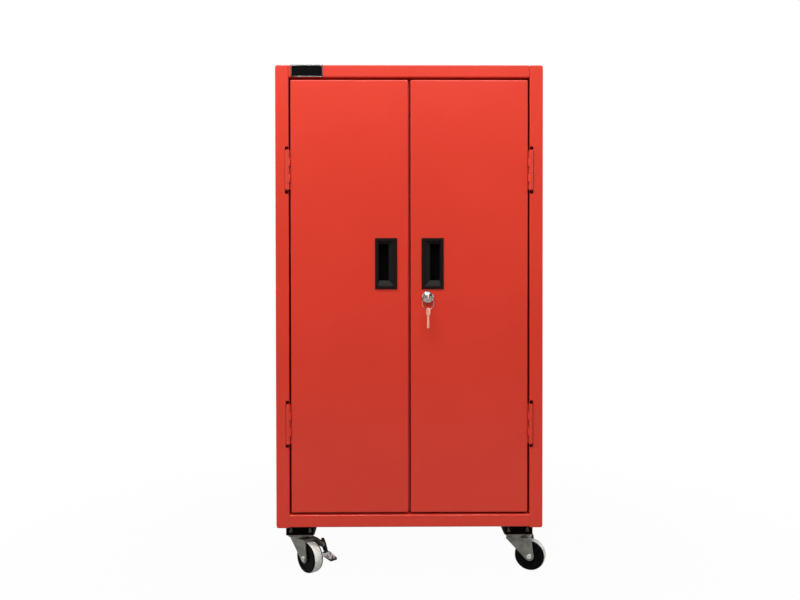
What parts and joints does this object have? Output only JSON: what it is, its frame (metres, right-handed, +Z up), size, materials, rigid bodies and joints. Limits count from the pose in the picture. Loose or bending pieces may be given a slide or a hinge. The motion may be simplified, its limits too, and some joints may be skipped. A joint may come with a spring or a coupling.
{
  "type": "tool cabinet",
  "caption": "Upright sheet-metal tool cabinet with a pair of flush hinged doors, recessed pulls, a cam lock with keys, inner shelves and swivel casters.",
  "frame": {"origin": "centre of the footprint on the floor under the wheels", "axes": "+Z up, -Y out of the front with the doors, +X to the right seen from the front"},
  "size_m": [0.5894, 0.4561, 1.073],
  "materials": {
    "red_paint": "gloss powder coat",
    "dark_paint": "dark primer",
    "zinc_steel": "zinc plated",
    "brake_steel": "zinc plated",
    "chrome_plate": "polished",
    "key_metal": "nickel plated brass",
    "black_plastic": "moulded",
    "pale_tread": "soft tread",
    "black_rubber": "matt"
  },
  "bodies": {
    "cabinet": {"left_side_panel": "red_paint", "right_side_panel": "red_paint", "top_panel": "red_paint", "bottom_panel": "red_paint", "floor_panel": "red_paint", "back_panel": "red_paint", "back_rivets": "zinc_steel", "shelf_posts": "red_paint", "lower_shelf": "red_paint", "middle_shelf": "red_paint", "upper_shelf": "red_paint", "shelf_clips": "zinc_steel", "door_stops": "red_paint", "door_buffers": "black_rubber", "nameplate": "black_plastic", "caster_brackets": "dark_paint", "caster_plates": "zinc_steel", "caster_bolts": "zinc_steel", "swivel_races": "zinc_steel", "king_rivets": "zinc_steel", "hinge_frame_leaves": "red_paint", "hinge_pins": "red_paint"},
    "left_door": {"left_door_panel": "red_paint", "left_door_stiffener": "red_paint", "left_handle": "black_plastic", "left_hinge_leaves": "red_paint", "bolt_guides": "zinc_steel"},
    "right_door": {"right_door_panel": "red_paint", "right_door_stiffener": "red_paint", "right_handle": "black_plastic", "right_hinge_leaves": "red_paint", "lock_housing": "chrome_plate", "lock_nut": "zinc_steel"},
    "upper_bolt": {"upper_bolt": "zinc_steel"},
    "lower_bolt": {"lower_bolt": "zinc_steel"},
    "lock": {"lock_plug": "chrome_plate", "lock_cam": "zinc_steel", "cam_screw": "zinc_steel"},
    "key": {"key": "key_metal"},
    "key_ring": {"key_ring": "chrome_plate"},
    "spare_key": {"spare_key": "key_metal"},
    "front_left_swivel": {"front_left_fork": "zinc_steel", "front_left_axle": "zinc_steel"},
    "front_left_roller": {"front_left_wheel": "black_plastic", "front_left_tyre": "pale_tread"},
    "front_left_pedal": {"front_left_brake": "brake_steel"},
    "front_right_swivel": {"front_right_fork": "zinc_steel", "front_right_axle": "zinc_steel"},
    "front_right_roller": {"front_right_wheel": "black_plastic", "front_right_tyre": "pale_tread"},
    "rear_left_swivel": {"rear_left_fork": "zinc_steel", "rear_left_axle": "zinc_steel"},
    "rear_left_roller": {"rear_left_wheel": "black_plastic", "rear_left_tyre": "pale_tread"},
    "rear_right_swivel": {"rear_right_fork": "zinc_steel", "rear_right_axle": "zinc_steel"},
    "rear_right_roller": {"rear_right_wheel": "black_plastic", "rear_right_tyre": "pale_tread"},
    "rear_right_pedal": {"rear_right_brake": "brake_steel"}
  },
  "joints": [
    {"name": "left_door_hinge", "type": "hinge", "parent": "cabinet", "child": "left_door", "pos_m": [-0.2545, -0.2015, 0.588], "axis": [0, 0, -1], "range_deg": [0, 170]},
    {"name": "right_door_hinge", "type": "hinge", "parent": "cabinet", "child": "right_door", "pos_m": [0.2545, -0.2015, 0.588], "axis": [0, 0, 1], "range_deg": [0, 170]},
    {"name": "upper_bolt_slide", "type": "slide", "parent": "left_door", "child": "upper_bolt", "axis": [0, 0, 1], "range_m": [0, 0.013]},
    {"name": "lower_bolt_slide", "type": "slide", "parent": "left_door", "child": "lower_bolt", "axis": [0, 0, -1], "range_m": [0, 0.013]},
    {"name": "lock_turn", "type": "hinge", "parent": "right_door", "child": "lock", "pos_m": [0.0383, -0.2, 0.58856], "axis": [0, 1, 0], "range_deg": [0, 90]},
    {"name": "key_slide", "type": "slide", "parent": "lock", "child": "key", "axis": [0, -1, 0], "range_m": [0, 0.024]},
    {"name": "key_ring_swing", "type": "hinge", "parent": "key", "child": "key_ring", "pos_m": [0.0383, -0.2215, 0.58736], "axis": [1, 0, 0], "range_deg": [-80, 10]},
    {"name": "spare_key_swing", "type": "hinge", "parent": "key_ring", "child": "spare_key", "pos_m": [0.0383, -0.2215, 0.56336], "axis": [1, 0, 0], "range_deg": [-60, 20]},
    {"name": "front_left_swivel_turn", "type": "hinge", "parent": "cabinet", "child": "front_left_swivel", "pos_m": [-0.233, -0.147, 0.07], "axis": [0, 0, 1], "continuous": true},
    {"name": "front_left_wheel_roll", "type": "hinge", "parent": "front_left_swivel", "child": "front_left_roller", "pos_m": [-0.21293, -0.16929, 0.0325], "axis": [0.7431, 0.6691, 0], "continuous": true},
    {"name": "front_left_brake_press", "type": "hinge", "parent": "front_left_swivel", "child": "front_left_pedal", "pos_m": [-0.19687, -0.18713, 0.062], "axis": [0.7431, 0.6691, 0], "range_deg": [0, 8]},
    {"name": "front_right_swivel_turn", "type": "hinge", "parent": "cabinet", "child": "front_right_swivel", "pos_m": [0.233, -0.147, 0.07], "axis": [0, 0, 1], "continuous": true},
    {"name": "front_right_wheel_roll", "type": "hinge", "parent": "front_right_swivel", "child": "front_right_roller", "pos_m": [0.26153, -0.15627, 0.0325], "axis": [0.309, 0.9511, 0], "continuous": true},
    {"name": "rear_left_swivel_turn", "type": "hinge", "parent": "cabinet", "child": "rear_left_swivel", "pos_m": [-0.233, 0.147, 0.07], "axis": [0, 0, 1], "continuous": true},
    {"name": "rear_left_wheel_roll", "type": "hinge", "parent": "rear_left_swivel", "child": "rear_left_roller", "pos_m": [-0.26153, 0.15627, 0.0325], "axis": [-0.309, -0.9511, 0], "continuous": true},
    {"name": "rear_right_swivel_turn", "type": "hinge", "parent": "cabinet", "child": "rear_right_swivel", "pos_m": [0.233, 0.147, 0.07], "axis": [0, 0, 1], "continuous": true},
    {"name": "rear_right_wheel_roll", "type": "hinge", "parent": "rear_right_swivel", "child": "rear_right_roller", "pos_m": [0.22128, 0.17461, 0.0325], "axis": [-0.9205, -0.3907, 0], "continuous": true},
    {"name": "rear_right_brake_press", "type": "hinge", "parent": "rear_right_swivel", "child": "rear_right_pedal", "pos_m": [0.2119, 0.19671, 0.062], "axis": [-0.9205, -0.3907, 0], "range_deg": [0, 8]}
  ]
}
